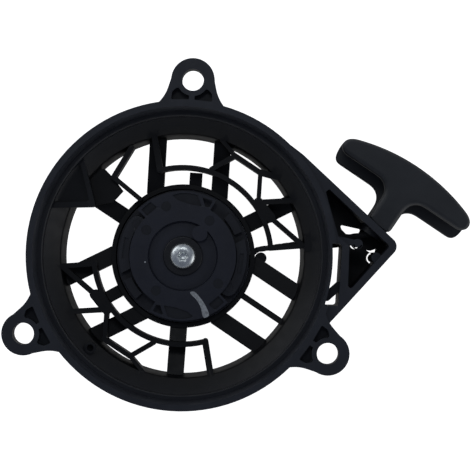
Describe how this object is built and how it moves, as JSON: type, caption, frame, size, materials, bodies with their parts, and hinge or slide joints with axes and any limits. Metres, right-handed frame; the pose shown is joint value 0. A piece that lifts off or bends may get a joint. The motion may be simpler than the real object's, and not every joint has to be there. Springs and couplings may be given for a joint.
{
  "type": "recoil starter",
  "caption": "Three-lug recoil starter for a small engine: ribbed moulded housing, rope pulley with swinging pawls under a friction plate, rewind spring and T-handle on a rope.",
  "frame": {"origin": "crankshaft axis on the mounting plane, which is the engine side of the three lugs", "axes": "+Z along the crankshaft axis towards the engine, +Y through one mounting lug"},
  "size_m": [0.2507, 0.1911, 0.0535],
  "materials": {
    "housing_plastic": "moulded satin",
    "handle_plastic": "moulded satin",
    "pulley_plastic": "moulded satin",
    "plate_plastic": "moulded satin",
    "pawl_plastic": "moulded satin",
    "collar_plastic": "moulded satin",
    "zinc_screw": "zinc plated",
    "spring_steel": "oiled",
    "eyelet_steel": "polished",
    "brass_insert": "knurled",
    "rope": "braided"
  },
  "bodies": {
    "housing": {"starter_housing": "housing_plastic", "threaded_insert": "brass_insert", "step_collar": "collar_plastic", "centre_screw": "zinc_screw", "rewind_spring": "spring_steel", "spring_cover": "spring_steel", "rope_eyelet": "eyelet_steel", "rope_run": "rope"},
    "handle": {"pull_handle": "handle_plastic", "handle_cap": "handle_plastic", "knot_washer": "spring_steel", "handle_knot": "rope"},
    "pulley": {"pulley": "pulley_plastic", "rope_coil": "rope", "pulley_knot": "rope", "friction_spring": "spring_steel", "pawl_pin_1": "pulley_plastic", "pawl_pin_2": "pulley_plastic", "pawl_spring_1": "spring_steel", "pawl_spring_2": "spring_steel"},
    "friction_plate": {"friction_plate": "plate_plastic"},
    "pawl_1": {"pawl_1": "pawl_plastic"},
    "pawl_2": {"pawl_2": "pawl_plastic"}
  },
  "joints": [
    {"name": "handle_pull", "type": "slide", "parent": "housing", "child": "handle", "axis": [0.503, 0.8643, 0], "range_m": [0, 1], "stiffness_N_per_m": 12, "springref_m": -1.2},
    {"name": "pulley_spin", "type": "hinge", "parent": "housing", "child": "pulley", "pos_m": [0, 0, -0.038], "axis": [0, 0, 1], "range_deg": [0, 2400]},
    {"name": "plate_lag", "type": "hinge", "parent": "pulley", "child": "friction_plate", "pos_m": [0, 0, -0.027], "axis": [0, 0, 1], "range_deg": [-24, 0], "stiffness_Nm_per_rad": 0.05, "springref_deg": 11.46},
    {"name": "pawl_1_swing", "type": "hinge", "parent": "pulley", "child": "pawl_1", "pos_m": [-0.02657, 0.01597, -0.0307], "axis": [0, 0, 1], "range_deg": [-29, 0]},
    {"name": "pawl_2_swing", "type": "hinge", "parent": "pulley", "child": "pawl_2", "pos_m": [0.02657, -0.01597, -0.0307], "axis": [0, 0, 1], "range_deg": [-29, 0]}
  ],
  "couplings": [
    {"joint": "pulley_spin", "follows": "handle_pull", "rad_per_m": 41.152},
    {"joint": "pawl_1_swing", "follows": "plate_lag", "ratio": 1.2},
    {"joint": "pawl_2_swing", "follows": "plate_lag", "ratio": 1.2}
  ]
}
